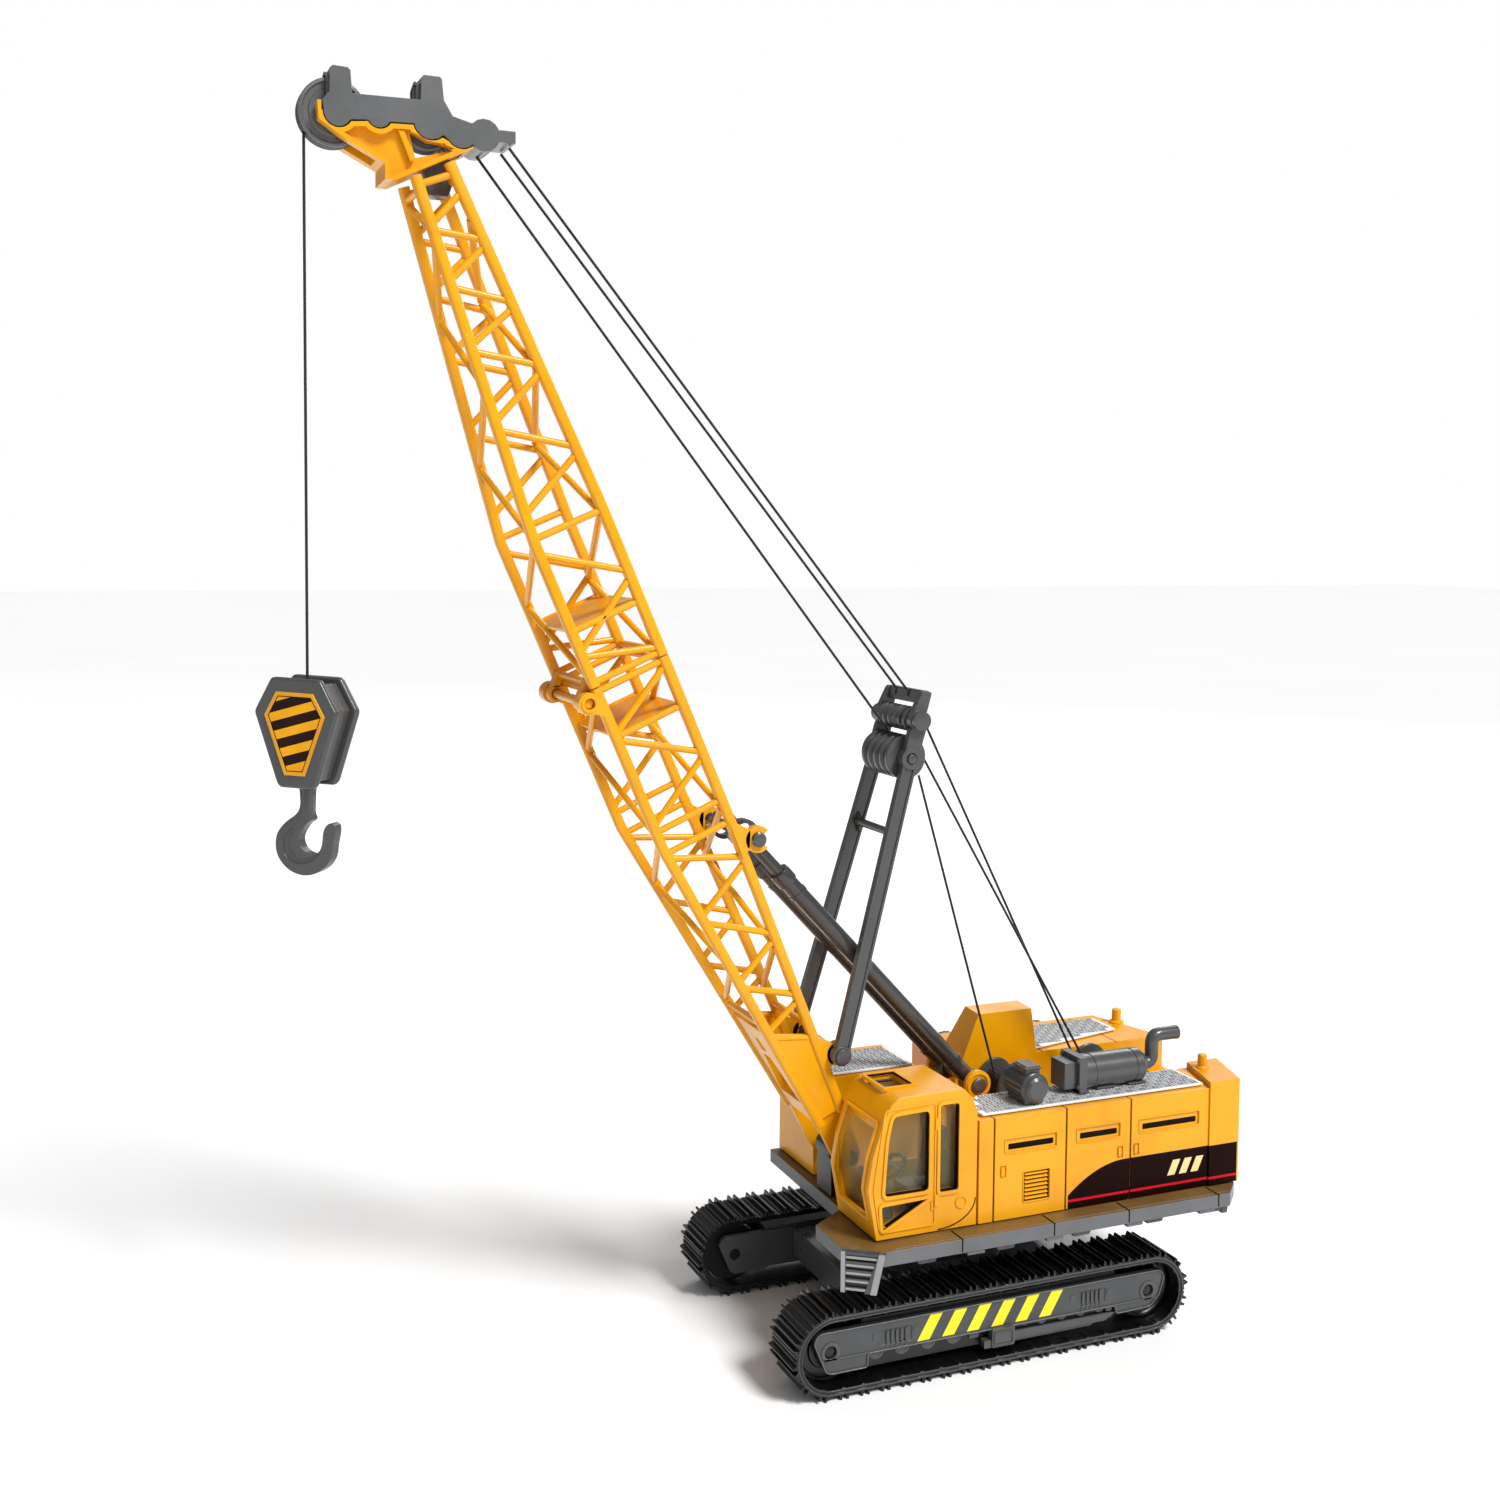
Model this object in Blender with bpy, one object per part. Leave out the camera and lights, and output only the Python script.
"""Toy crawler crane with a folding lattice boom.

Metres, +Z up. The boom points along -X, the cab is on the -Y side and the
tracks stand on z = 0. Every moving piece has its own object, whose origin is
on its joint axis.
"""
import math

import bmesh
import bpy
from mathutils import Vector

MM = 0.001

# ---------------------------------------------------------------- dimensions (mm)
FRAME_SHIFT = (49.38, 2.18, 2.7)   # from the slew axis to the middle of the footprint, and up to the ground
TRACK_WHEEL_X = 49.4      # wheel centres, fore and aft
TRACK_WHEEL_Z = 9.2
TRACK_IN, TRACK_OUT = 25.4, 41.3
BELT_OUT_R, BELT_IN_R = 11.1, 9.0
GROUSER = 0.8
SHOES = 44
WHEEL_R = 8.6

DECK_Z0, DECK_Z1 = 31.4, 35.2
ROOF_Z = 63.9
BOX_Y0, BOX_Y1 = -36.5, -18.5
FAR_Y0, FAR_Y1 = 9.2, 36.5

BOOM_FOOT = (-30.5, 48.0)
CHORD = 2.9               # square boom chord
LACE = 1.7                # square boom lacing bar
SEAM_F = (-106.76, 181.86)
LEAN = math.radians(23.513)
BOOM_DEPTH = 19.68
BOOM_HALF = 16.64
KNEE_UP, KNEE_DOWN = 39.4, 46.0
TOP_F, TOP_R, TOP_HALF = (-149.7, 307.0), (-141.4, 310.9), 7.28
BASE_F, BASE_R, BASE_HALF = (-39.66, 58.71), (-33.24, 62.24), 10.0
FOLD_PIN = (-108.6, 177.9)

MAST_FOOT = (-35.5, 78.9)
MAST_PULLEY = (-13.2, 159.0)
MAST_ROLLER = (-11.0, 169.6)
STRUT_FOOT = (9.5, 64.5)
STRUT_TOP = (-62.1, 140.7)
STRUT_Y = 7.3

SHEAVE_1, SHEAVE_1_R = (-168.6, 321.6), 8.3
SHEAVE_2, SHEAVE_2_R = (-145.7, 320.6), 6.4
TAIL = (-132.3, 318.8)

HOIST_AXIS = (26.8, 59.5)
LUFF_AXIS = (60.0, 59.5)

ROPE_R = 0.36
HOIST_X = -175.2
BLOCK_YAW = math.radians(-45)

UP = (-math.sin(LEAN), math.cos(LEAN))
BACK = (UP[1], -UP[0])

YELLOW = ((0.84, 0.36, 0.02), 0.32, 0.0)
GREY = ((0.11, 0.115, 0.12), 0.45, 0.0)
LIGHT_GREY = ((0.24, 0.25, 0.255), 0.4, 0.0)
BLACK = ((0.012, 0.012, 0.013), 0.6, 0.0)
BROWN = ((0.22, 0.14, 0.05), 0.5, 0.0)
SILVER = ((0.62, 0.63, 0.65), 0.35, 0.6)
STEEL = ((0.55, 0.56, 0.58), 0.3, 1.0)
AMBER = ((0.55, 0.36, 0.08), 0.1, 0.0)
CORD = ((0.01, 0.01, 0.01), 0.85, 0.0)


# ---------------------------------------------------------------- scene and helpers
for old in list(bpy.data.objects):
    bpy.data.objects.remove(old, do_unlink=True)

SCENE = bpy.context.scene.collection
MATERIALS = {}


def material(key, look):
    if key not in MATERIALS:
        colour, rough, metal = look
        mat = bpy.data.materials.new(key)
        mat.use_nodes = True
        shader = mat.node_tree.nodes["Principled BSDF"]
        shader.inputs["Base Color"].default_value = (*colour, 1.0)
        shader.inputs["Roughness"].default_value = rough
        shader.inputs["Metallic"].default_value = metal
        mat.diffuse_color = (*colour, 1.0)
        MATERIALS[key] = mat
    return MATERIALS[key]


def solid(verts, faces):
    """A mesh from points in mm."""
    bm = bmesh.new()
    points = [bm.verts.new((x * MM, y * MM, z * MM)) for x, y, z in verts]
    for face in faces:
        bm.faces.new([points[i] for i in face])
    bmesh.ops.recalc_face_normals(bm, faces=bm.faces[:])
    mesh = bpy.data.meshes.new("shape")
    bm.to_mesh(mesh)
    bm.free()
    return mesh


def prism(outline, a, b, axis="y"):
    """An outline swept from a to b. axis y takes (x, z) points, z takes (x, y), x takes (y, z)."""
    place = {
        "y": lambda p, t: (p[0], t, p[1]),
        "z": lambda p, t: (p[0], p[1], t),
        "x": lambda p, t: (t, p[0], p[1]),
    }[axis]
    n = len(outline)
    verts = [place(p, a) for p in outline] + [place(p, b) for p in outline]
    faces = [list(range(n)), list(range(2 * n - 1, n - 1, -1))]
    faces += [[i, (i + 1) % n, n + (i + 1) % n, n + i] for i in range(n)]
    return solid(verts, faces)


def box(x0, x1, y0, y1, z0, z1):
    return prism([(x0, z0), (x1, z0), (x1, z1), (x0, z1)], y0, y1)


def circle(cx, cz, r, n, start=0.0):
    return [
        (cx + r * math.cos(start + 2 * math.pi * i / n), cz + r * math.sin(start + 2 * math.pi * i / n))
        for i in range(n)
    ]


def disc(centre, r, y0, y1, n=16):
    return prism(circle(centre[0], centre[1], r, n), y0, y1)


def rod(p, q, r, n=8):
    """A round bar between two points."""
    p, q = Vector(p), Vector(q)
    along = (q - p).normalized()
    side = along.cross(Vector((0, 1, 0)))
    if side.length < 0.1:
        side = along.cross(Vector((0, 0, 1)))
    side.normalize()
    other = along.cross(side)
    ring = [
        side * (r * math.cos(2 * math.pi * (i + 0.5) / n)) + other * (r * math.sin(2 * math.pi * (i + 0.5) / n))
        for i in range(n)
    ]
    verts = [tuple(p + v) for v in ring] + [tuple(q + v) for v in ring]
    faces = [list(range(n)), list(range(2 * n - 1, n - 1, -1))]
    faces += [[i, (i + 1) % n, n + (i + 1) % n, n + i] for i in range(n)]
    return solid(verts, faces)


def bar(p, q, w, extend=0.0):
    """A square bar between two points."""
    p, q = Vector(p), Vector(q)
    along = (q - p).normalized()
    p, q = p - along * extend, q + along * extend
    side = along.cross(Vector((0, 1, 0)))
    if side.length < 0.2:
        side = along.cross(Vector((1, 0, 0)))
    side.normalize()
    other = along.cross(side).normalized()
    h = w / 2
    ring = [side * a * h + other * b * h for a, b in ((-1, -1), (1, -1), (1, 1), (-1, 1))]
    verts = [tuple(p + v) for v in ring] + [tuple(q + v) for v in ring]
    return solid(verts, [[0, 1, 2, 3], [7, 6, 5, 4], [0, 1, 5, 4], [1, 2, 6, 5], [2, 3, 7, 6], [3, 0, 4, 7]])


def hexa(low, high):
    """A block between two four-sided ends, each a list of points in the same order."""
    return solid(
        list(low) + list(high),
        [[0, 1, 2, 3], [7, 6, 5, 4], [0, 1, 5, 4], [1, 2, 6, 5], [2, 3, 7, 6], [3, 0, 4, 7]],
    )


def turned(profile, centre, n):
    """A body turned about a lateral axis. The profile is (y, radius) pairs from one end to the other."""
    cx, cz = centre
    verts = [(cx, profile[0][0], cz)]
    for y, r in profile:
        verts += [(x, y, z) for x, z in circle(cx, cz, r, n)]
    verts.append((cx, profile[-1][0], cz))
    last = len(verts) - 1
    faces = [[0, 1 + (i + 1) % n, 1 + i] for i in range(n)]
    for k in range(len(profile) - 1):
        a, b = 1 + k * n, 1 + (k + 1) * n
        faces += [[a + i, a + (i + 1) % n, b + (i + 1) % n, b + i] for i in range(n)]
    a = 1 + (len(profile) - 1) * n
    faces += [[last, a + i, a + (i + 1) % n] for i in range(n)]
    return solid(verts, faces)


def holder(mesh):
    obj = bpy.data.objects.new("helper", mesh)
    SCENE.objects.link(obj)
    return obj


def boolean(base, tools, operation):
    """The base mesh joined with, or cut by, each tool mesh."""
    obj = holder(base)
    group = bpy.data.collections.new("tools")
    SCENE.children.link(group)
    helpers = []
    for tool in tools:
        other = bpy.data.objects.new("tool", tool)
        group.objects.link(other)
        helpers.append(other)
    mod = obj.modifiers.new("cut", "BOOLEAN")
    mod.solver = "EXACT"
    mod.operation = operation
    mod.operand_type = "COLLECTION"
    mod.collection = group
    bpy.context.view_layer.update()
    graph = bpy.context.evaluated_depsgraph_get()
    result = bpy.data.meshes.new_from_object(obj.evaluated_get(graph))
    for helper in helpers + [obj]:
        bpy.data.objects.remove(helper, do_unlink=True)
    bpy.data.collections.remove(group)
    return result


def join(*shapes):
    return boolean(shapes[0], shapes[1:], "UNION")


def cut(base, *tools):
    return boolean(base, tools, "DIFFERENCE")


def piece(name, mesh, mat, look, origin=(0, 0, 0), smooth=False, bevel=0.0):
    """The finished object, with its origin at the given point in mm."""
    bm = bmesh.new()
    bm.from_mesh(mesh)
    bmesh.ops.remove_doubles(bm, verts=bm.verts[:], dist=1e-6)
    bmesh.ops.translate(bm, verts=bm.verts[:], vec=Vector(origin) * -MM)
    bmesh.ops.recalc_face_normals(bm, faces=bm.faces[:])
    out = bpy.data.meshes.new(name)
    bm.to_mesh(out)
    bm.free()
    out.materials.clear()
    out.materials.append(material(mat, look))
    obj = bpy.data.objects.new(name, out)
    obj.location = Vector(origin) * MM
    SCENE.objects.link(obj)
    if smooth:
        out.shade_smooth()
        out.set_sharp_from_angle(angle=math.radians(35))
    if bevel:
        mod = obj.modifiers.new("Edge", "BEVEL")
        mod.width = bevel * MM
        mod.segments = 1
        mod.limit_method = "ANGLE"
        mod.angle_limit = math.radians(60)
    return obj


def mirror(mesh):
    """The same shape on the other side of y = 0."""
    bm = bmesh.new()
    bm.from_mesh(mesh)
    for v in bm.verts:
        v.co.y = -v.co.y
    bmesh.ops.reverse_faces(bm, faces=bm.faces[:])
    out = bpy.data.meshes.new("shape")
    bm.to_mesh(out)
    bm.free()
    return out


def rope(name, points, origin=(0, 0, 0)):
    """A cord: one poly spline with a round section and closed ends."""
    curve = bpy.data.curves.new(name, "CURVE")
    curve.dimensions = "3D"
    curve.bevel_depth = ROPE_R * MM
    curve.bevel_resolution = 2
    curve.use_fill_caps = True
    spline = curve.splines.new("POLY")
    spline.points.add(len(points) - 1)
    for point, (x, y, z) in zip(spline.points, points):
        point.co = ((x - origin[0]) * MM, (y - origin[1]) * MM, (z - origin[2]) * MM, 1.0)
    curve.materials.append(material("cord", CORD))
    obj = bpy.data.objects.new(name, curve)
    obj.location = Vector(origin) * MM
    SCENE.objects.link(obj)
    return obj


def mix(a, b, t):
    return tuple(u + (v - u) * t for u, v in zip(a, b))


def shift(p, du, dn):
    """A side-view point moved du up the boom and dn to its rear."""
    return (p[0] + UP[0] * du + BACK[0] * dn, p[1] + UP[1] * du + BACK[1] * dn)


# ---------------------------------------------------------------- tracks
def racetrack(radius, per_end=9, half=TRACK_WHEEL_X):
    points = []
    for side, start in ((1, -math.pi / 2), (-1, math.pi / 2)):
        for i in range(per_end):
            a = start + math.pi * i / (per_end - 1)
            points.append((side * half + radius * math.cos(a), TRACK_WHEEL_Z + radius * math.sin(a)))
    return points


def belt_path(s, radius):
    """The point and outward direction at arc length s round a loop of this radius."""
    straight, arc = 2 * TRACK_WHEEL_X, math.pi * radius
    s %= 2 * (straight + arc)
    if s < straight:
        return (-TRACK_WHEEL_X + s, TRACK_WHEEL_Z - radius), (0, -1)
    s -= straight
    if s < arc:
        a = -math.pi / 2 + s / radius
        return (TRACK_WHEEL_X + radius * math.cos(a), TRACK_WHEEL_Z + radius * math.sin(a)), (math.cos(a), math.sin(a))
    s -= arc
    if s < straight:
        return (TRACK_WHEEL_X - s, TRACK_WHEEL_Z + radius), (0, 1)
    s -= straight
    a = math.pi / 2 + s / radius
    return (-TRACK_WHEEL_X + radius * math.cos(a), TRACK_WHEEL_Z + radius * math.sin(a)), (math.cos(a), math.sin(a))


def belt():
    length = 4 * TRACK_WHEEL_X + 2 * math.pi * BELT_OUT_R
    pitch = length / SHOES
    outline = []
    for i in range(SHOES):
        for offset, tall in ((0.12, 0.0), (0.2, GROUSER), (0.5, GROUSER), (0.58, 0.0)):
            (x, z), (nx, nz) = belt_path((i + offset) * pitch, BELT_OUT_R)
            outline.append((x + nx * tall, z + nz * tall))
    loop = prism(outline, TRACK_IN, TRACK_OUT)
    return cut(loop, prism(racetrack(BELT_IN_R, 10), TRACK_IN - 1, TRACK_OUT + 1))


PLATE = [
    (-54.4, 12.4), (-53.4, 14.2), (-52.2, 14.8), (52.6, 14.8), (54.0, 14.2), (54.9, 12.6),
    (53.2, 7.2), (50.2, 4.4), (39.5, 4.0), (-38.6, 4.0), (-40.2, 3.3), (-49.6, 3.4), (-50.9, 4.2),
]


def side_frame():
    """The inner plate, the beam behind the outer plate and its row of roller bumps."""
    plate = prism(PLATE, 26.4, 27.9)
    shapes = [plate, box(-39.5, 39.5, 27.0, 36.9, 4.6, 15.6)]
    shapes += [disc((x, 4.7), 1.75, 28.6, 36.4, 8) for x in (-36.7, -29.0, -21.2, -13.4, 14.0, 22.0, 30.0)]
    frame = join(*shapes)
    return cut(frame, *[disc((x, TRACK_WHEEL_Z), 1.75, 25, 29, 12) for x in (-TRACK_WHEEL_X, TRACK_WHEEL_X)])


def outer_plate():
    plate = join(prism(PLATE, 37.2, 38.8), box(-1.7, 5.3, 37.4, 40.2, 2.9, 6.2))
    return cut(plate, *[disc((x, TRACK_WHEEL_Z), 1.75, 36, 42, 12) for x in (-TRACK_WHEEL_X, TRACK_WHEEL_X)])


def track_wheel(x, teeth):
    """A wheel with its own stub axle; the driven one has notches round its rim."""
    hub = turned(
        [(26.7, 1.5), (28.4, 1.5), (28.4, WHEEL_R), (36.4, WHEEL_R), (36.4, 3.4), (36.9, 3.4), (36.9, 1.5), (38.6, 1.5)],
        (x, TRACK_WHEEL_Z), 16 if not teeth else 20,
    )
    if not teeth:
        return hub
    notches = []
    for i in range(teeth):
        a = 2 * math.pi * (i + 0.5) / teeth
        notches.append(disc((x + (WHEEL_R + 0.5) * math.cos(a), TRACK_WHEEL_Z + (WHEEL_R + 0.5) * math.sin(a)), 1.5, 27, 30.2, 6))
    return cut(hub, *notches)


belt_mesh, frame_mesh, plate_mesh = belt(), side_frame(), outer_plate()
front_wheel, rear_wheel = track_wheel(-TRACK_WHEEL_X, 0), track_wheel(TRACK_WHEEL_X, 10)
for side, flip in (("left", mirror), ("right", lambda m: m.copy())):
    sign = -1 if side == "left" else 1
    piece("track_belt_" + side, flip(belt_mesh), "track_black", BLACK)
    piece("track_frame_" + side, flip(frame_mesh), "dark_grey", GREY)
    piece("track_plate_" + side, flip(plate_mesh), "dark_grey", GREY)
    piece("idler_" + side, flip(front_wheel), "track_black", BLACK, (-TRACK_WHEEL_X, sign * 32, TRACK_WHEEL_Z), smooth=True)
    piece("sprocket_" + side, flip(rear_wheel), "track_black", BLACK, (TRACK_WHEEL_X, sign * 32, TRACK_WHEEL_Z), smooth=True)

piece("carbody", join(
    prism(circle(0, 0, 20.5, 20), 7.0, 20.6, "z"),
    box(-31, -15, -26.0, 26.0, 6.2, 14.6),
    box(15, 31, -26.0, 26.0, 6.2, 14.6),
), "dark_grey", GREY)
piece("slew_ring", cut(prism(circle(0, 0, 17.5, 24), 20.9, 24.4, "z"), prism(circle(0, 0, 12.5, 16), 20, 25, "z")),
      "light_grey", LIGHT_GREY, smooth=True)

# ---------------------------------------------------------------- deck
deck_outline = [
    (-45.2, -20.0), (-34.2, -12.4), (-33.8, 36.9), (79.0, 36.9), (88.6, 18.0), (88.6, -18.0),
    (80.0, -37.0), (74.0, -42.9), (-36.8, -42.9), (-45.2, -37.0),
]
lower_deck = [(-26, -24), (62, -24), (62, 24), (-26, 24)]
deck_parts = [prism(deck_outline, DECK_Z0, DECK_Z1, "z"), prism(lower_deck, 24.8, DECK_Z0 + 0.4, "z")]
for x in (-8.5, 16.0, 42.0, 66.5):
    deck_parts.append(box(x - 2.6, x + 2.6, -42.5, -40.8, 30.3, DECK_Z0 + 0.4))
piece("deck", join(*deck_parts), "deck_brown", BROWN)

# the ladder stands across the platform's front corner
STEP_A, STEP_B = Vector((-45.6, -37.3, 0)), Vector((-37.2, -43.3, 0))
step_along = (STEP_B - STEP_A).normalized()
step_out = Vector((step_along.y, -step_along.x, 0))


def on_steps(u, out, z):
    p = STEP_A + step_along * u + step_out * out
    return (p.x, p.y, z)


STEP_W = (STEP_B - STEP_A).length


def step_block(u0, u1, low_u0, low_u1, o0, o1, z0, z1):
    return hexa(
        [on_steps(low_u0, o0, z0), on_steps(low_u1, o0, z0), on_steps(low_u1, o1, z0), on_steps(low_u0, o1, z0)],
        [on_steps(u0, o0, z1), on_steps(u1, o0, z1), on_steps(u1, o1, z1), on_steps(u0, o1, z1)],
    )


step_parts = [
    step_block(0.0, STEP_W + 0.6, 0.0, STEP_W - 3.0, 0.05, 0.75, 25.2, 35.9),
    step_block(0.0, 1.2, 0.0, 1.2, 0.3, 1.9, 25.0, 35.9),
    step_block(STEP_W - 0.4, STEP_W + 1.4, STEP_W - 4.2, STEP_W - 2.6, 0.3, 1.9, 25.0, 35.9),
]
for i in range(5):
    z = 25.6 + 2.3 * i
    step_parts.append(step_block(0.6, STEP_W - 3.2 + 3.4 * i / 4, 0.6, STEP_W - 3.2 + 3.4 * i / 4, 0.4, 1.6, z, z + 0.7))
piece("cab_steps", join(*step_parts), "light_grey", LIGHT_GREY)

# ---------------------------------------------------------------- engine box (cab side)
near_plan = [(-4.6, BOX_Y0), (80.4, BOX_Y0), (86.4, BOX_Y1), (-4.6, BOX_Y1)]
rear_cap = [(70.9, BOX_Y0 - 0.5), (81.2, BOX_Y0 - 0.5), (87.2, BOX_Y1), (76.5, BOX_Y1)]
box_mesh = join(
    prism(near_plan, 35.6, ROOF_Z, "z"),
    prism(rear_cap, 35.6, 65.6, "z"),
    prism(circle(77.3, -24.7, 1.35, 8), 65.0, 69.8, "z"),
    box(8.0, 11.0, -19.4, -10.2, 35.6, 60.4),
    disc(STRUT_FOOT, 4.1, -11.6, -10.2, 16),
    prism([(6.0, 58), (13.0, 58), (13.0, 64), (6.0, 64)], -11.6, -10.2),
)
cutters = [box(x - 0.3, x + 0.3, -37.5, -36.0, 35.2, 64.4) for x in (1.2, 23.4, 45.2)]
cutters += [box(a, b, -37.5, -35.4, 54.6, 57.1) for a, b in ((4.6, 18.8), (27.2, 40.2), (47.6, 66.6))]
cutters += [box(10.2, 17.2, -37.5, -35.7, z, z + 0.6) for z in (40.6, 42.2, 43.8, 45.4, 47.0)]
cutters += [disc(STRUT_FOOT, 1.9, -13, -9, 12), disc(HOIST_AXIS, 1.9, -20, -17, 12), disc(LUFF_AXIS, 1.9, -20, -17, 12)]
piece("engine_box", cut(box_mesh, *cutters), "body_yellow", YELLOW)

# ---------------------------------------------------------------- machinery box (far side)
far_rear = [(14.0, FAR_Y0), (88.2, FAR_Y0), (80.6, FAR_Y1), (14.0, FAR_Y1)]
far_mesh = join(
    box(-31.0, 3.2, 12.3, FAR_Y1, 35.6, 63.4),
    box(2.8, 15.0, 12.3, FAR_Y1, 35.6, 50.0),
    prism(far_rear, 35.6, 64.6, "z"),
    hexa(
        [(16.0, FAR_Y0, 64.2), (42.0, FAR_Y0, 64.2), (42.0, 22.0, 64.2), (16.0, 22.0, 64.2)],
        [(21.6, FAR_Y0, 78.2), (39.9, FAR_Y0, 78.2), (39.9, 17.2, 78.6), (21.6, 17.2, 78.6)],
    ),
    prism(circle(83.0, 26.6, 1.5, 8), 64.0, 69.2, "z"),
    box(79.0, 86.0, -18.2, 10.0, 35.6, 56.0),
    box(8.0, 11.0, 10.2, 12.4, 35.6, 60.4),
    disc(STRUT_FOOT, 4.1, 10.2, 11.6, 16),
    prism([(6.0, 58), (13.0, 58), (13.0, 64), (6.0, 64)], 10.2, 11.6),
)
piece("machinery_box", cut(
    far_mesh,
    disc(STRUT_FOOT, 1.9, 9, 13, 12),
    disc(HOIST_AXIS, 1.9, 8, 38, 12),
    disc(LUFF_AXIS, 1.9, 8, 38, 12),
    box(-22.0, -19.8, 36.0, 37.5, 40, 60), box(-2, 0.2, 36.0, 37.5, 40, 60),
), "body_yellow", YELLOW)

# ---------------------------------------------------------------- tread plates
piece("tread_plate_left", prism([(-2.4, -34.4), (3.2, -20.6), (70.4, -18.7), (70.4, -32.4)][0:1] + [(-3.6, -30.0), (3.4, -20.4), (70.2, -20.4), (70.2, -34.4)], 64.2, 65.0, "z"), "tread_plate", SILVER)
piece("tread_plate_front", prism([(-26.0, 13.0), (1.6, 13.0), (1.6, 31.5), (-22.0, 31.5)], 63.7, 64.5, "z"), "tread_plate", SILVER)
piece("tread_plate_rear", prism([(42.6, 10.6), (77.0, 18.6), (77.0, 31.0), (42.6, 31.0)], 64.9, 65.6, "z"), "tread_plate", SILVER)

# ---------------------------------------------------------------- winch motor, muffler, exhaust
MOTOR = (14.4, 69.6)
piece("winch_motor", join(
    turned([(-35.6, 2.9), (-34.2, 2.9), (-34.2, 4.3), (-22.6, 4.3), (-22.6, 3.2), (-21.4, 3.2)], MOTOR, 20),
    box(12.2, 16.6, -32.6, -26.4, 68.0, 75.6),
    box(11.4, 17.4, -33.4, -24.0, 65.3, 67.0),
), "dark_grey", GREY, smooth=True)

MUFFLER = (-26.0, 69.9)


def turned_x(profile, cy, cz, n):
    verts = [(profile[0][0], cy, cz)]
    for x, r in profile:
        verts += [(x, y, z) for y, z in circle(cy, cz, r, n)]
    verts.append((profile[-1][0], cy, cz))
    last = len(verts) - 1
    faces = [[0, 1 + (i + 1) % n, 1 + i] for i in range(n)]
    for k in range(len(profile) - 1):
        a, b = 1 + k * n, 1 + (k + 1) * n
        faces += [[a + i, a + (i + 1) % n, b + (i + 1) % n, b + i] for i in range(n)]
    a = 1 + (len(profile) - 1) * n
    faces += [[last, a + i, a + (i + 1) % n] for i in range(n)]
    return solid(verts, faces)


piece("muffler", join(
    turned_x([(26.4, 3.7), (32.6, 3.7), (32.6, 4.3), (53.7, 4.3), (54.5, 2.6)], *MUFFLER, 18),
    box(31.2, 33.0, -31.0, -21.2, 65.3, 75.4),
    box(38.4, 43.0, -28.4, -23.6, 65.3, 68.0),
    box(49.0, 53.4, -28.4, -23.6, 65.3, 68.0),
), "dark_grey", GREY, smooth=True)


def pipe(points, r, n=8):
    """A bent tube, solid, with its ring turned to the bisector at each bend."""
    pts = [Vector(p) for p in points]
    rings = []
    for i, p in enumerate(pts):
        before = (p - pts[i - 1]).normalized() if i else (pts[1] - p).normalized()
        after = (pts[i + 1] - p).normalized() if i + 1 < len(pts) else before
        along = (before + after).normalized()
        side = Vector((0, 1, 0))
        other = along.cross(side).normalized()
        rings.append([tuple(p + side * (r * math.cos(2 * math.pi * (k + 0.5) / n)) + other * (r * math.sin(2 * math.pi * (k + 0.5) / n))) for k in range(n)])
    verts = [v for ring in rings for v in ring]
    faces = [list(range(n)), list(range(len(verts) - 1, len(verts) - n - 1, -1))]
    for j in range(len(rings) - 1):
        faces += [[j * n + i, j * n + (i + 1) % n, (j + 1) * n + (i + 1) % n, (j + 1) * n + i] for i in range(n)]
    return solid(verts, faces)


piece("exhaust_pipe", pipe([
    (54.9, -26, 69.9), (56.4, -26, 69.9), (57.8, -26, 70.4), (58.3, -26, 71.8), (58.3, -26, 75.8), (58.9, -26, 77.2), (60.3, -26, 77.8), (66.6, -26, 77.8),
], 1.7), "dark_grey", GREY, smooth=True)

# ---------------------------------------------------------------- cab
cab_side = [
    (-35.4, 35.6), (-38.0, 49.6), (-36.6, 58.0), (-33.4, 67.6), (-31.2, 71.6), (-28.6, 73.2),
    (-9.4, 73.2), (-6.8, 70.6), (-5.2, 66.6), (-5.2, 35.6),
]
cab_void = [
    (-33.6, 37.4), (-36.2, 49.6), (-34.9, 57.6), (-31.8, 66.8), (-30.0, 70.2), (-28.0, 71.6),
    (-10.2, 71.6), (-8.4, 69.6), (-6.9, 66.0), (-6.9, 37.4),
]
CAB_Y0, CAB_Y1 = -36.5, -13.6
shell = cut(
    prism(cab_side, CAB_Y0, CAB_Y1),
    prism(cab_void, CAB_Y0 + 1.6, CAB_Y1 - 1.6),
    # door, rear and foot windows through both sides
    prism([(-30.6, 68.0), (-20.2, 68.6), (-20.2, 47.4), (-33.0, 47.4), (-32.0, 62.0)], -37.5, -34.4),
    prism([(-16.6, 69.6), (-11.2, 69.6), (-11.2, 46.4), (-16.6, 46.4)], -37.5, -34.4),
    prism([(-33.9, 44.4), (-19.8, 44.8), (-33.4, 38.6)], -37.5, -34.4),
    prism([(-30.6, 68.0), (-11.2, 68.6), (-11.2, 47.4), (-32.6, 47.4), (-31.6, 62.0)], -15.6, -12.6),
    # windscreen
    box(-42, -33.0, -33.8, -16.2, 40.2, 66.4),
    box(-32.5, -28.6, -33.8, -16.2, 64.0, 66.4),
    # rear window and roof hatch
    box(-7.6, -4.6, -33.4, -16.8, 52.0, 66.0),
    box(-30.0, -20.6, -29.4, -17.0, 70.6, 74.0),
)
piece("cab_shell", shell, "body_yellow", YELLOW)

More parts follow.
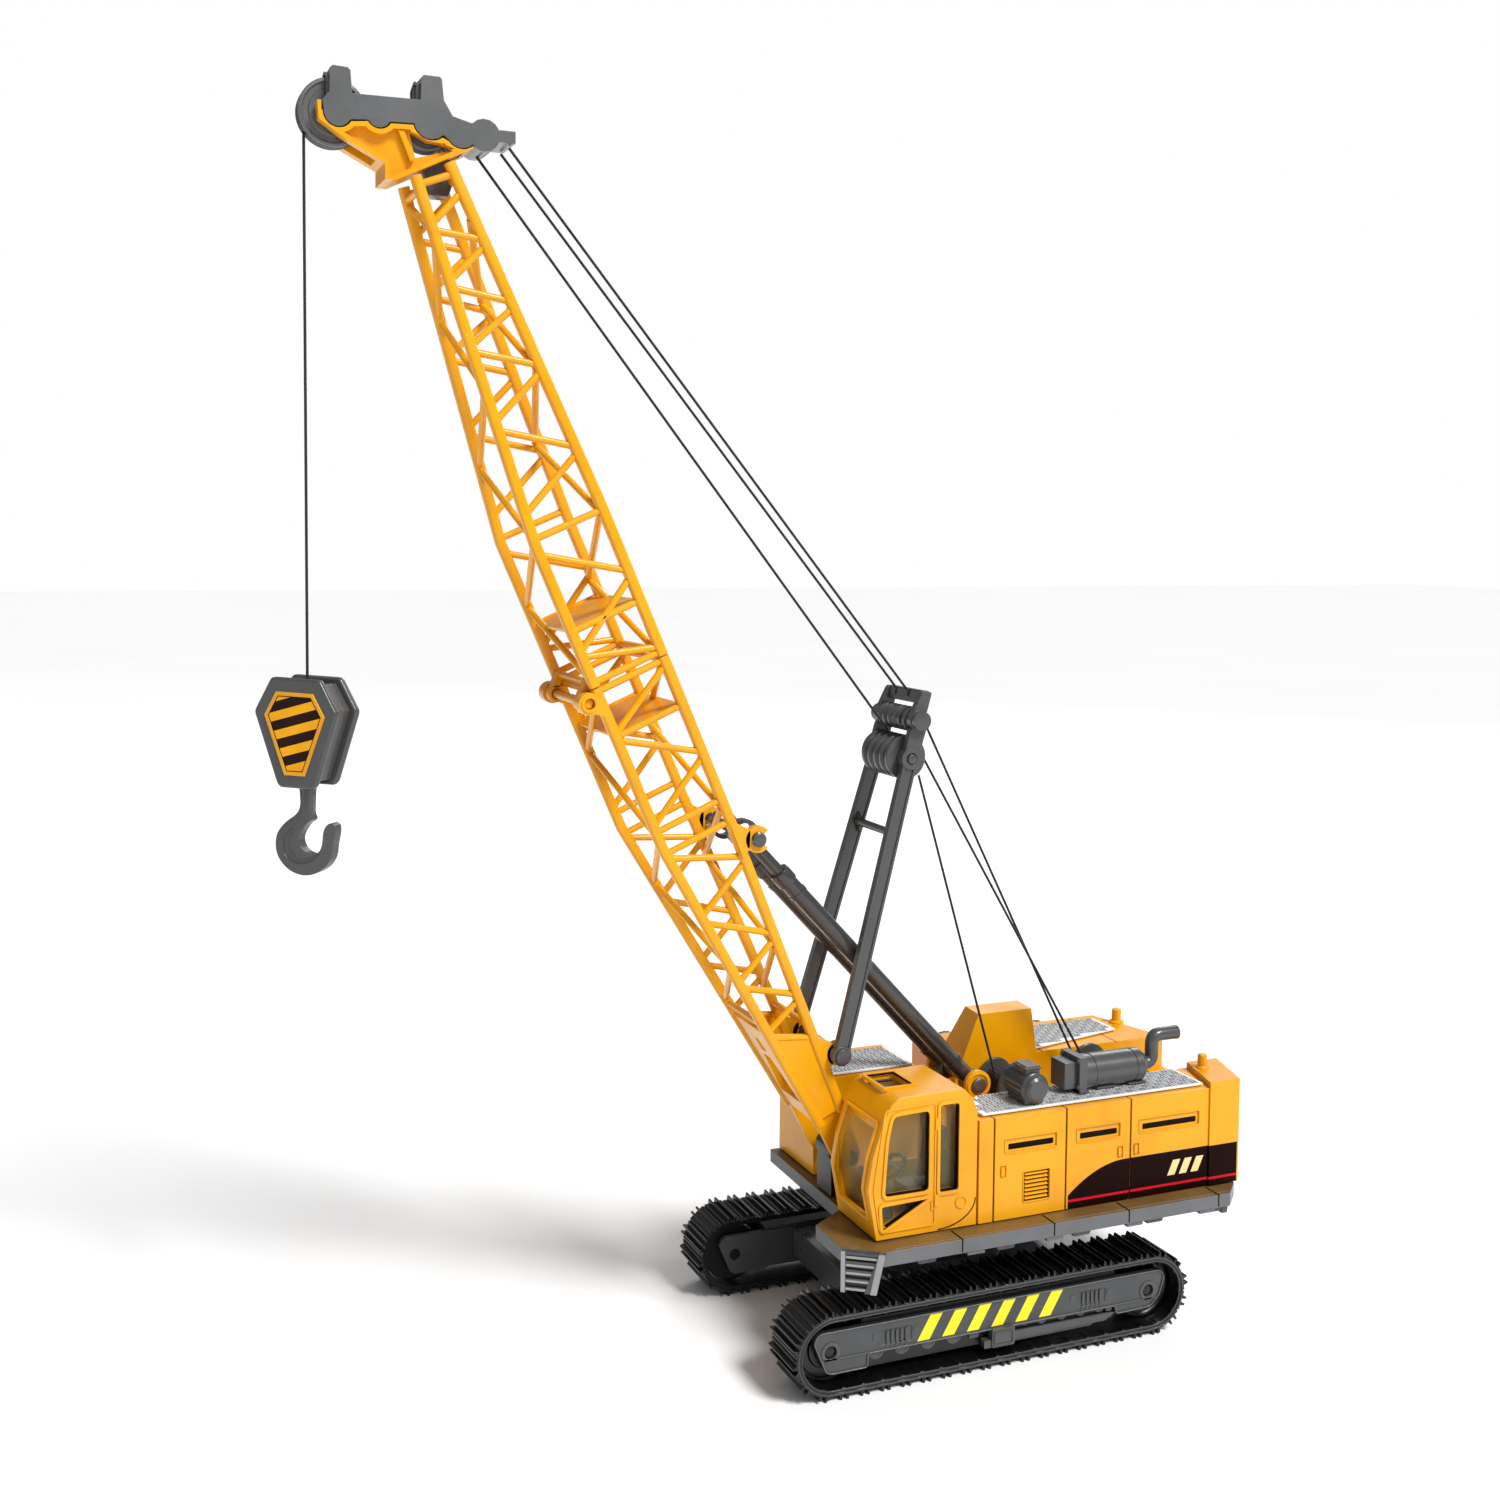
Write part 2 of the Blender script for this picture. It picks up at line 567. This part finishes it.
glass_out = [
    (-33.1, 38.0), (-35.7, 49.7), (-34.4, 57.5), (-31.4, 66.5), (-29.6, 69.8), (-27.9, 71.2),
    (-10.4, 71.2), (-8.8, 69.3), (-7.3, 65.9), (-7.3, 38.0),
]
glass_in = [
    (-32.3, 37.0), (-34.9, 49.8), (-33.6, 57.3), (-30.7, 66.2), (-29.1, 69.2), (-27.6, 70.4),
    (-10.7, 70.4), (-9.4, 69.0), (-8.1, 65.8), (-8.1, 37.0),
]
piece("cab_glazing", cut(
    prism(glass_out, CAB_Y0 + 2.0, CAB_Y1 - 2.0),
    prism(glass_in, CAB_Y0 + 2.8, CAB_Y1 - 2.8),
), "amber_glazing", AMBER)
piece("cab_seat", join(
    box(-22.0, -13.0, -30.0, -20.5, 41.0, 45.0),
    prism([(-15.4, 44.0), (-12.6, 44.0), (-10.4, 60.5), (-13.0, 60.5)], -29.6, -20.9),
    box(-19.5, -14.5, -27.5, -23.0, 37.8, 41.5),
    box(-20.5, -13.6, -31.0, -29.2, 46.5, 48.2),
), "light_grey", LIGHT_GREY)
wheel_c, tilt = Vector((-25.4, -25.2, 51.4)), math.radians(55)
along = Vector((-math.cos(tilt), 0, math.sin(tilt))) * -1
piece("cab_console", join(
    prism([(-31.6, 37.8), (-26.4, 37.8), (-27.4, 47.0), (-31.8, 47.0)], -29.0, -21.4),
    rod((-29.2, -25.2, 46.0), (-25.6, -25.2, 51.2), 0.9, 8),
    rod(tuple(wheel_c - Vector((0.45, 0, 0.62)) * 0.7), tuple(wheel_c + Vector((0.45, 0, 0.62)) * 0.7), 4.3, 14),
), "dark_grey", GREY)

# ---------------------------------------------------------------- boom foot bracket and pins
piece("boom_bracket", cut(
    join(
        box(-33.4, -26.4, -4.6, 4.6, 35.6, 48.0),
        disc(BOOM_FOOT, 3.6, -4.6, 4.6, 16),
    ),
    disc(BOOM_FOOT, 1.95, -6, 6, 14),
), "track_black", BLACK, smooth=True)
piece("boom_foot_pin", turned([(-11.0, 2.4), (-10.1, 2.4), (-10.1, 1.7), (10.1, 1.7), (10.1, 2.4), (11.0, 2.4)], BOOM_FOOT, 14),
      "steel", STEEL, (BOOM_FOOT[0], 0, BOOM_FOOT[1]), smooth=True)
piece("strut_foot_shaft", turned([(-12.8, 2.2), (-12.0, 2.2), (-12.0, 1.6), (12.0, 1.6), (12.0, 2.2), (12.8, 2.2)], STRUT_FOOT, 12),
      "steel", STEEL, (STRUT_FOOT[0], 0, STRUT_FOOT[1]), smooth=True)

# ---------------------------------------------------------------- telescopic struts
strut_dir = Vector((STRUT_TOP[0] - STRUT_FOOT[0], 0, STRUT_TOP[1] - STRUT_FOOT[1]))
STRUT_LEN = strut_dir.length
strut_dir.normalize()


def on_strut(t, y):
    return (STRUT_FOOT[0] + strut_dir.x * t, y, STRUT_FOOT[1] + strut_dir.z * t)


def strut_point(t, n):
    return (STRUT_FOOT[0] + strut_dir.x * t - strut_dir.z * n, STRUT_FOOT[1] + strut_dir.z * t + strut_dir.x * n)


for side, y in (("left", -STRUT_Y), ("right", STRUT_Y)):
    barrel = cut(
        join(
            rod(on_strut(2.4, y), on_strut(88.0, y), 2.45, 14),
            rod(on_strut(86.4, y), on_strut(89.4, y), 2.75, 14),
            disc(STRUT_FOOT, 3.3, y - 1.7, y + 1.7, 14),
        ),
        rod(on_strut(40.0, y), on_strut(92.0, y), 2.0, 12),
        disc(STRUT_FOOT, 1.95, y - 3, y + 3, 12),
    )
    piece("strut_barrel_" + side, barrel, "dark_grey", GREY, (STRUT_FOOT[0], y, STRUT_FOOT[1]), smooth=True)
    eye = [strut_point(STRUT_LEN + dt, dn) for dt, dn in ((-5.4, -1.5), (-3.6, -3.6), (1.6, -3.6), (3.6, -2.2), (3.6, 2.2), (1.6, 3.6), (-3.6, 3.6), (-5.4, 1.5))]
    hole = [strut_point(STRUT_LEN + 2.65 * math.cos(a), 2.65 * math.sin(a)) for a in (2 * math.pi * (i + 0.5) / 14 for i in range(14))]
    slider = cut(
        join(rod(on_strut(46.0, y), on_strut(STRUT_LEN - 4.6, y), 1.7, 12), prism(eye, y - 1.5, y + 1.5)),
        prism(hole, y - 3, y + 3),
    )
    piece("strut_rod_" + side, slider, "light_grey", LIGHT_GREY, (STRUT_FOOT[0], y, STRUT_FOOT[1]), smooth=True)
piece("strut_crosshead", turned([(-19.4, 1.9), (-18.6, 1.9), (-18.6, 1.4), (18.6, 1.4), (18.6, 1.9), (19.4, 1.9)], STRUT_TOP, 10),
      "dark_grey", GREY, (STRUT_TOP[0], 0, STRUT_TOP[1]), smooth=True)

# ---------------------------------------------------------------- boom, lower section
SEAM_R = shift(SEAM_F, 0, BOOM_DEPTH)
KNEE1_F, KNEE1_R = shift(SEAM_F, -KNEE_DOWN, 0), shift(SEAM_F, -KNEE_DOWN, BOOM_DEPTH)
KNEE2_F, KNEE2_R = shift(SEAM_F, KNEE_UP, 0), shift(SEAM_F, KNEE_UP, BOOM_DEPTH)


def distance(a, b):
    return math.hypot(a[0] - b[0], a[1] - b[1])


def chord_point(chain, t):
    """The (x, z, half-width) point at length t along a chain of (x, z, half-width) corners."""
    for a, b in zip(chain, chain[1:]):
        length = distance(a, b)
        if t <= length or b is chain[-1]:
            return mix(a, b, t / length)
        t -= length
    return chain[-1]


def at(chain, t, side, inward=0.0):
    x, z, w = chord_point(chain, t)
    x, z = shift((x, z), 0, -inward)
    return (x, side * w, z)


REAR_LACE_INSET = 1.0  # keeps the rear lacing clear of the strut rods' eyes through the luffing range


def section(front, rear, side_bars, face_pitch, face_end_front, face_end_rear, start):
    """Chords and lacing of one boom section, from its seam end."""
    shapes = []
    for side in (-1, 1):
        for chain in (front, rear):
            for (a, b) in zip(chain, chain[1:]):
                shapes.append(bar((a[0], side * a[2], a[1]), (b[0], side * b[2], b[1]), CHORD, 0.0 if a is chain[0] else 0.25))
        for tf, tr in side_bars:
            shapes.append(bar(at(front, tf, side), at(rear, tr, side), LACE))
    for chain, end, deep in ((front, face_end_front, 0.0), (rear, face_end_rear, REAR_LACE_INSET)):
        t, k = start, 0
        shapes.append(bar(at(chain, t, -1), at(chain, t, 1), LACE * 1.02))
        while t < end - face_pitch * 0.5:
            nxt = min(t + face_pitch, end)
            s = 1 if k % 2 else -1
            shapes.append(bar(at(chain, t + 0.4, s, deep), at(chain, nxt - 0.4, -s, deep), LACE * 0.96))
            t, k = nxt, k + 1
        shapes.append(bar(at(chain, end + 0.9, -1), at(chain, end + 0.9, 1), LACE * 1.02))
    return shapes


def bulkhead(front, rear, t, thick=0.9):
    a = [at(front, t - thick / 2, -1), at(rear, t - thick / 2, -1), at(rear, t - thick / 2, 1), at(front, t - thick / 2, 1)]
    b = [at(front, t + thick / 2, -1), at(rear, t + thick / 2, -1), at(rear, t + thick / 2, 1), at(front, t + thick / 2, 1)]
    return hexa(a, b)


GAP = 0.2
low_front = [(*shift(SEAM_F, -GAP, 0), BOOM_HALF), (*KNEE1_F, BOOM_HALF), (*BASE_F, BASE_HALF)]
low_rear = [(*shift(SEAM_R, -GAP, 0), BOOM_HALF), (*KNEE1_R, BOOM_HALF), (*BASE_R, BASE_HALF)]
low_bars = [
    (1.0, 1.0), (13.2, 2.2), (13.8, 13.8), (14.6, 27.4), (39.6, 28.4), (41.2, 41.2), (47.6, 47.6),
    (49.0, 58.4), (68.2, 59.6), (70.0, 82.0), (90.2, 83.4), (92.0, 101.2), (107.6, 102.8), (109.4, 115.0),
]
shapes = section(low_front, low_rear, low_bars, 21.0, 104.0, 110.0, 1.0)
shapes.append(bulkhead(low_front, low_rear, 13.8))
# solid web over the foot: side plates, front plate with two slots, and the foot cheeks
web_t_f, web_t_r = 108.0, 114.0
for side in (-1, 1):
    wf, wr = at(low_front, web_t_f, side), at(low_rear, web_t_r, side)
    bf, br = at(low_front, 139.0, side), at(low_rear, 138.0, side)

    def thick(p, d):
        return (p[0], p[1] - side * d, p[2])

    shapes.append(hexa([thick(wf, -0.7), thick(wr, -0.7), thick(br, -0.7), thick(bf, -0.7)],
                       [thick(wf, 0.7), thick(wr, 0.7), thick(br, 0.7), thick(bf, 0.7)]))
    # cheek from the end of the chords down to the pivot
    cheek = [
        (BASE_F[0] - 1.2, BASE_F[1] + 1.0), (BASE_R[0] + 1.3, BASE_R[1] + 0.6),
        (BOOM_FOOT[0] + 3.7, BOOM_FOOT[1] + 1.0), (BOOM_FOOT[0] + 3.2, BOOM_FOOT[1] - 2.0), (BOOM_FOOT[0] + 0.6, BOOM_FOOT[1] - 3.7),
        (BOOM_FOOT[0] - 2.4, BOOM_FOOT[1] - 3.0), (BOOM_FOOT[0] - 3.9, BOOM_FOOT[1] - 0.6),
    ]
    y0, y1 = sorted((side * 7.6, side * 9.7))
    shapes.append(prism(cheek, y0, y1))
front_a, front_b = at(low_front, web_t_f, -1), at(low_front, web_t_f, 1)
end_a, end_b = at(low_front, 139.0, -1), at(low_front, 139.0, 1)
fn = Vector((-(front_a[2] - end_a[2]), 0, front_a[0] - end_a[0])).normalized() * 0.7


def push(p, v, s):
    return (p[0] + v.x * s, p[1], p[2] + v.z * s)


shapes.append(hexa([push(front_a, fn, -1), push(front_b, fn, -1), push(end_b, fn, -1), push(end_a, fn, -1)],
                   [push(front_a, fn, 1), push(front_b, fn, 1), push(end_b, fn, 1), push(end_a, fn, 1)]))
# fold knuckles on the outside, mast lugs and strut hooks on the rear chords
for side in (-1, 1):
    y0, y1 = sorted((side * 14.5, side * 18.4))
    shapes.append(disc(FOLD_PIN, 2.85, y0, y1, 14))
    shapes.append(prism([FOLD_PIN, shift(FOLD_PIN, -2.8, 0.4), shift(SEAM_F, -7.5, 0), shift(SEAM_F, -1.2, 0)], y0 + 0.3, y1 - 0.3))
    y0, y1 = sorted((side * 10.4, side * 12.5))
    shapes.append(disc(MAST_FOOT, 3.3, y0, y1, 14))
    shapes.append(prism([(MAST_FOOT[0] + 0.6, MAST_FOOT[1] - 3.2), (MAST_FOOT[0] + 0.2, MAST_FOOT[1] + 3.2), (-43.6, 85.2), (-39.0, 74.4)], y0, y1))
    y0, y1 = sorted((side * 15.8, side * 18.0))
    hook_centre = STRUT_TOP
    arc = [(hook_centre[0] + 3.6 * math.cos(a), hook_centre[1] + 3.6 * math.sin(a)) for a in (math.radians(40 + d) for d in range(0, 281, 28))]
    inner = [(hook_centre[0] + 1.95 * math.cos(a), hook_centre[1] + 1.95 * math.sin(a)) for a in (math.radians(320 - d) for d in range(0, 281, 28))]
    shapes.append(prism(arc + inner, y0, y1))
    shapes.append(prism([(hook_centre[0] - 2.5, hook_centre[1] + 2.4), (hook_centre[0] - 2.6, hook_centre[1] - 2.2), (-66.4, 136.0), (-70.6, 146.6)], y0, y1))
lower = join(*shapes)
slot_mid = [mix(mix(front_a, front_b, 0.5), mix(end_a, end_b, 0.5), t) for t in (0.16, 0.3, 0.36, 0.82)]


def slot(a, b, half_a, half_b):
    p = [(a[0], a[1] - half_a, a[2]), (a[0], a[1] + half_a, a[2]), (b[0], b[1] + half_b, b[2]), (b[0], b[1] - half_b, b[2])]
    return hexa([push(q, fn, -4) for q in p], [push(q, fn, 4) for q in p])


cuts = [slot(slot_mid[0], slot_mid[1], 1.2, 2.0), slot(slot_mid[2], slot_mid[3], 2.4, 6.6)]
cuts += [disc(FOLD_PIN, 1.45, -20, 20, 12), disc(BOOM_FOOT, 1.95, -12, 12, 14), disc(MAST_FOOT, 1.75, -14, 14, 12)]
piece("boom_lower", cut(lower, *cuts), "body_yellow", YELLOW, (BOOM_FOOT[0], 0, BOOM_FOOT[1]))

# ---------------------------------------------------------------- boom, upper section
top_front = [(*shift(SEAM_F, GAP, 0), BOOM_HALF), (*KNEE2_F, BOOM_HALF), (*TOP_F, TOP_HALF)]
top_rear = [(*shift(SEAM_R, GAP, 0), BOOM_HALF), (*KNEE2_R, BOOM_HALF), (*TOP_R, TOP_HALF)]
top_bars = [
    (1.0, 1.0), (8.2, 2.2), (9.4, 21.8), (15.2, 15.2), (36.2, 23.4), (40.2, 40.2), (46.6, 55.6),
    (68.2, 57.2), (70.4, 77.4), (88.2, 79.0), (89.6, 94.2), (104.4, 95.8), (106.0, 110.6), (118.8, 112.0), (120.2, 124.6), (130.2, 129.2),
]
shapes = section(top_front, top_rear, top_bars, 19.5, 128.0, 127.0, 1.0)
shapes.append(bulkhead(top_front, top_rear, 15.2))
for side in (-1, 1):
    y0, y1 = sorted((side * 10.7, side * 14.2))
    shapes.append(disc(FOLD_PIN, 2.3, y0, y1, 14))
    shapes.append(prism([shift(FOLD_PIN, 0.4, -1.4), shift(FOLD_PIN, 0.2, 0.2), shift(SEAM_F, 0.6, -1.1), shift(SEAM_F, 1.2, 0.3), shift(SEAM_F, 2.0, -0.4)], y0, y1))
upper = cut(join(*shapes), disc(FOLD_PIN, 1.45, -20, 20, 12))
piece("boom_upper", upper, "body_yellow", YELLOW, (FOLD_PIN[0], 0, FOLD_PIN[1]))
piece("fold_pin", turned([(-19.6, 1.9), (-18.8, 1.9), (-18.8, 1.15), (18.8, 1.15), (18.8, 1.9), (19.6, 1.9)], FOLD_PIN, 10),
      "steel", STEEL, (FOLD_PIN[0], 0, FOLD_PIN[1]), smooth=True)

# ---------------------------------------------------------------- boom head
def lobe(c, r, a0, a1, n):
    return [(c[0] + r * math.cos(math.radians(a0 + (a1 - a0) * i / n)), c[1] + r * math.sin(math.radians(a0 + (a1 - a0) * i / n))) for i in range(n + 1)]


LOBES = [((-168.0, 320.8), 3.3, 190, 335, 6), ((-158.2, 321.0), 2.9, 205, 335, 5), ((-145.6, 320.7), 4.2, 190, 318, 6), ((-138.0, 318.9), 3.8, 215, 318, 5)]
cap_outline = []
for c, r, a0, a1, n in LOBES:
    cap_outline += lobe(c, r, a0, a1, n)
cap_outline += lobe(TAIL, 4.0, 230, 340, 5)
cap_outline += [(-124.4, 317.4), (-124.4, 320.4), (-128.8, 320.4)] + lobe(TAIL, 4.0, 25, 140, 5)
cap_outline += [
    (-140.2, 322.6), (-142.4, 326.2), (-142.9, 331.2), (-143.4, 331.8), (-147.4, 331.8), (-147.9, 331.2), (-148.1, 325.8),
    (-164.6, 325.6), (-165.0, 331.0), (-165.6, 331.6), (-169.2, 331.8), (-169.8, 331.2), (-170.0, 325.6), (-171.6, 323.6),
]
cap_mesh = cut(
    prism(cap_outline, -6.0, 6.0),
    box(-180, -158.4, -3.0, 3.0, 305, 330.0),
    box(-153.4, -137.6, -3.0, 3.0, 305, 330.0),
    disc(SHEAVE_1, 1.5, -5.2, 5.2, 12), disc(SHEAVE_2, 1.6, -5.2, 5.2, 12),
)
piece("head_cap", cap_mesh, "light_grey", LIGHT_GREY, smooth=True)
frame_side = [
    (-172.9, 323.2), (-172.6, 318.9), (-166.9, 315.0), (-156.9, 309.8), (-156.9, 305.9), (-154.3, 305.9),
    (-134.0, 315.9), (-134.0, 320.0), (-165.0, 323.6),
]
under_cap = [
    (-171.95, 340.0), (-171.95, 320.9), (-168.0, 320.9), (-164.7, 318.9), (-160.7, 319.3), (-155.5, 319.3),
    (-149.8, 319.5), (-142.3, 316.9), (-141.4, 316.4), (-138.0, 318.0), (-130.0, 316.0), (-120.0, 316.0), (-120.0, 340.0),
]
head_mesh = cut(
    prism(frame_side, -6.3, 6.3),
    prism(under_cap, -8, 8),
    *[disc(c, r + 0.35, -8, 8, 20) for c, r, a0, a1, n in LOBES],
    disc(TAIL, 4.35, -8, 8, 20),
    box(-180, -158.6, -3.2, 3.2, 300, 335),
    box(-153.6, -137.0, -3.2, 3.2, 310.5, 335),
)
piece("head_frame", head_mesh, "body_yellow", YELLOW)


def sheave(centre, r, groove, width, n):
    h = width / 2
    return turned([(-2.7, 1.2), (-2.7, 2.4), (-h, 2.4), (-h, r), (-h * 0.62, r), (-0.5, groove), (0.5, groove), (h * 0.62, r), (h, r), (h, 2.4), (2.7, 2.4), (2.7, 1.2)][1:-1], centre, n)


for number, (centre, r, groove) in enumerate(((SHEAVE_1, SHEAVE_1_R, 5.8), (SHEAVE_2, SHEAVE_2_R, 4.4))):
    wheel = sheave(centre, r, groove, 4.4, 18)
    if number == 0:
        wheel = cut(wheel, disc(centre, 1.45, -4, 4, 12))
    piece("head_sheave_" + ("front", "rear")[number], wheel if number == 0 else join(wheel, disc(centre, 1.3, -4.9, 4.9, 12)), "light_grey", LIGHT_GREY, (centre[0], 0, centre[1]), smooth=True)
piece("head_pin_front", turned([(-4.9, 1.2), (4.9, 1.2)], SHEAVE_1, 12),
      "steel", STEEL, (SHEAVE_1[0], 0, SHEAVE_1[1]), smooth=True)

# ---------------------------------------------------------------- mast
mast_shapes = []
for side in (-1, 1):
    y_foot, y_top = side * 14.3, side * 10.0
    p, q = (MAST_FOOT[0] + 0.3, y_foot, MAST_FOOT[1] + 1.5), (MAST_PULLEY[0], y_top, MAST_PULLEY[1])
    along_leg = Vector((q[0] - p[0], 0, q[2] - p[2])).normalized()
    nx, nz = along_leg.z * 2.1, -along_leg.x * 2.1
    mast_shapes.append(hexa(
        [(p[0] - nx, p[1] - 1.1, p[2] - nz), (p[0] + nx, p[1] - 1.1, p[2] + nz), (p[0] + nx, p[1] + 1.1, p[2] + nz), (p[0] - nx, p[1] + 1.1, p[2] - nz)],
        [(q[0] - nx, q[1] - 1.1, q[2] - nz), (q[0] + nx, q[1] - 1.1, q[2] + nz), (q[0] + nx, q[1] + 1.1, q[2] + nz), (q[0] - nx, q[1] + 1.1, q[2] - nz)],
    ))
    y0, y1 = sorted((side * 12.9, side * 15.5))
    mast_shapes.append(disc(MAST_FOOT, 2.75, y0, y1, 16))
    y0, y1 = sorted((side * 8.6, side * 11.4))
    mast_shapes.append(disc(MAST_PULLEY, 3.1, y0, y1, 14))
    mast_shapes.append(prism([(-15.6, 159.0), (-10.2, 159.0), (-8.6, 169.0), (-7.2, 177.6), (-9.9, 177.9), (-13.4, 169.2)], y0 + 0.3, y1 - 0.3))
    mast_shapes.append(disc(MAST_ROLLER, 2.9, y0, y1, 12))
mast_shapes.append(prism([(-7.3, 173.9), (-7.0, 177.6), (-9.7, 177.9), (-10.2, 174.1)], -9.4, 9.4))
cross_t = 0.745
cx, cz = MAST_FOOT[0] + (MAST_PULLEY[0] - MAST_FOOT[0]) * cross_t, MAST_FOOT[1] + (MAST_PULLEY[1] - MAST_FOOT[1]) * cross_t
mast_shapes.append(rod((cx, -11.2, cz), (cx, 11.2, cz), 1.15, 8))
mast = cut(join(*mast_shapes), disc(MAST_FOOT, 1.75, -18, 18, 12), disc(MAST_PULLEY, 1.6, -13, 13, 12), disc(MAST_ROLLER, 1.5, -13, 13, 12))
piece("mast_frame", mast, "dark_grey", GREY, (MAST_FOOT[0], 0, MAST_FOOT[1]))
piece("mast_foot_shaft", turned([(-16.4, 2.1), (-15.8, 2.1), (-15.8, 1.45), (15.8, 1.45), (15.8, 2.1), (16.4, 2.1)], MAST_FOOT, 12),
      "steel", STEEL, (MAST_FOOT[0], 0, MAST_FOOT[1]), smooth=True)

profile = [(-11.9, 1.3), (-7.9, 1.3)]
for k in range(5):
    y = -7.9 + k * 3.55
    profile += [(y, 6.2), (y + 1.5, 6.2)]
    if k < 4:
        profile += [(y + 1.9, 4.9), (y + 3.15, 4.9)]
profile += [(7.8, 1.3), (11.9, 1.3)]
piece("mast_pulleys", turned(profile, MAST_PULLEY, 16), "dark_grey", GREY, (MAST_PULLEY[0], 0, MAST_PULLEY[1]), smooth=True)
profile = [(-13.2, 2.7), (-11.8, 2.7), (-11.8, 1.2), (-8.2, 1.2)]
for k in range(6):
    y = -8.2 + k * 2.95
    profile += [(y, 3.5), (y + 1.0, 3.5)]
    if k < 5:
        profile += [(y + 1.4, 2.7), (y + 2.55, 2.7)]
profile += [(7.9, 3.5), (8.1, 1.2), (11.8, 1.2), (11.8, 2.7), (13.2, 2.7)]
del profile[-6]
piece("mast_roller", turned(profile, MAST_ROLLER, 10), "dark_grey", GREY, (MAST_ROLLER[0], 0, MAST_ROLLER[1]), smooth=True)


# ---------------------------------------------------------------- winch drums with their outside knobs
def drum(centre, barrel, flange):
    return turned([
        (-18.2, 1.5), (-3.4, 1.5), (-3.4, flange), (-2.2, flange), (-2.2, barrel), (7.2, barrel), (7.2, flange), (8.4, flange),
        (8.4, 1.5), (37.0, 1.5), (37.0, 4.9), (39.4, 4.9),
    ], centre, 14)


piece("hoist_drum", drum(HOIST_AXIS, 3.1, 5.5), "dark_grey", GREY, (HOIST_AXIS[0], 0, HOIST_AXIS[1]), smooth=True)
piece("luff_drum", drum(LUFF_AXIS, 4.3, 6.1), "dark_grey", GREY, (LUFF_AXIS[0], 0, LUFF_AXIS[1]), smooth=True)


# ---------------------------------------------------------------- hook block, turned 45 degrees on its rope
def yawed(mesh):
    bm = bmesh.new()
    bm.from_mesh(mesh)
    c, s = math.cos(BLOCK_YAW), math.sin(BLOCK_YAW)
    for v in bm.verts:
        x, y = v.co.x, v.co.y
        v.co.x, v.co.y = HOIST_X * MM + x * c - y * s, x * s + y * c
    out = bpy.data.meshes.new("shape")
    bm.to_mesh(out)
    bm.free()
    return out


cheek_outline = [(-7.6, 184.9), (7.6, 184.9), (12.0, 177.0), (5.4, 158.6), (4.4, 158.0), (-4.4, 158.0), (-5.4, 158.6), (-12.0, 177.0)]
core_outline = [(-6.4, 183.4), (6.4, 183.4), (10.4, 177.0), (4.4, 159.6), (-4.4, 159.6), (-10.4, 177.0)]
origin = (HOIST_X, 0, 177.0)
piece("hook_cheek_left", yawed(prism(cheek_outline, -5.2, -3.2)), "light_grey", LIGHT_GREY, origin)
piece("hook_cheek_right", yawed(prism(cheek_outline, 3.2, 5.2)), "light_grey", LIGHT_GREY, origin)
piece("hook_block_core", yawed(cut(prism(core_outline, -2.9, 2.9), prism(circle(0, 0, 1.9, 12), 156, 164.0, "z"), prism(circle(0, 0, 2.45, 12), 161.2, 164.4, "z"))), "dark_grey", GREY, origin)

hook_outline = [(-1.2, 152.0), (-1.5, 150.2), (-4.2, 148.2), (-7.4, 146.6), (-9.4, 144.6)]
hook_outline += [(-0.9 + 8.7 * math.cos(math.radians(a)), 144.0 + 8.1 * math.sin(math.radians(a))) for a in range(186, 352, 16)]
hook_outline += [(8.1, 145.0), (8.7, 147.6), (8.4, 149.0), (7.4, 149.1), (5.0, 147.6), (3.4, 145.6)]
hook_outline += [(0.45 + 2.7 * math.cos(math.radians(a)), 144.8 + 3.0 * math.sin(math.radians(a))) for a in range(350, 170, -24)]
hook_outline += [(-1.8, 146.6), (0.2, 149.2), (1.2, 151.2), (1.2, 152.0)]
hook_mesh = join(
    prism(hook_outline, -1.35, 1.35),
    prism(circle(0, 0, 1.5, 12), 150.4, 162.0, "z"),
    prism(circle(0, 0, 2.1, 12), 161.8, 163.8, "z"),
)
piece("hook", yawed(hook_mesh), "dark_grey", GREY, (HOIST_X, 0, 160.0), smooth=True)

# ---------------------------------------------------------------- ropes
rope("hoist_rope", [(HOIST_X, 0, 183.8), (HOIST_X, 0, SHEAVE_1[1])], (SHEAVE_1[0], 0, SHEAVE_1[1]))
rope("pendant_a", [(-132.0, 1.5, 314.3), (-14.5, 1.5, 166.1)], (TAIL[0], 0, TAIL[1]))
rope("pendant_b", [(-125.1, 5.0, 316.6), (-10.9, 5.0, 178.7)], (TAIL[0], 0, TAIL[1]))
rope("pendant_c", [(-124.9, -2.5, 316.6), (-10.9, -2.5, 178.1)], (TAIL[0], 0, TAIL[1]))
rope("luff_rope_a", [(54.7, 6.2, 60.3), (-5.6, -6.0, 166.6)], (LUFF_AXIS[0], 0, LUFF_AXIS[1]))
rope("luff_rope_b", [(55.5, 2.7, 61.4), (-6.4, -4.2, 159.2)], (LUFF_AXIS[0], 0, LUFF_AXIS[1]))
rope("hoist_lead_low", [(23.2, 1.0, 59.8), (16.0, 0.7, 83.6)], (HOIST_AXIS[0], 0, HOIST_AXIS[1]))
rope("hoist_lead_top", [(15.9, 0.7, 84.0), (-4.9, 0.0, 152.6)], (HOIST_AXIS[0], 0, HOIST_AXIS[1]))

# ---------------------------------------------------------------- centre the part over its footprint
for obj in SCENE.objects:
    obj.location += Vector(FRAME_SHIFT) * MM
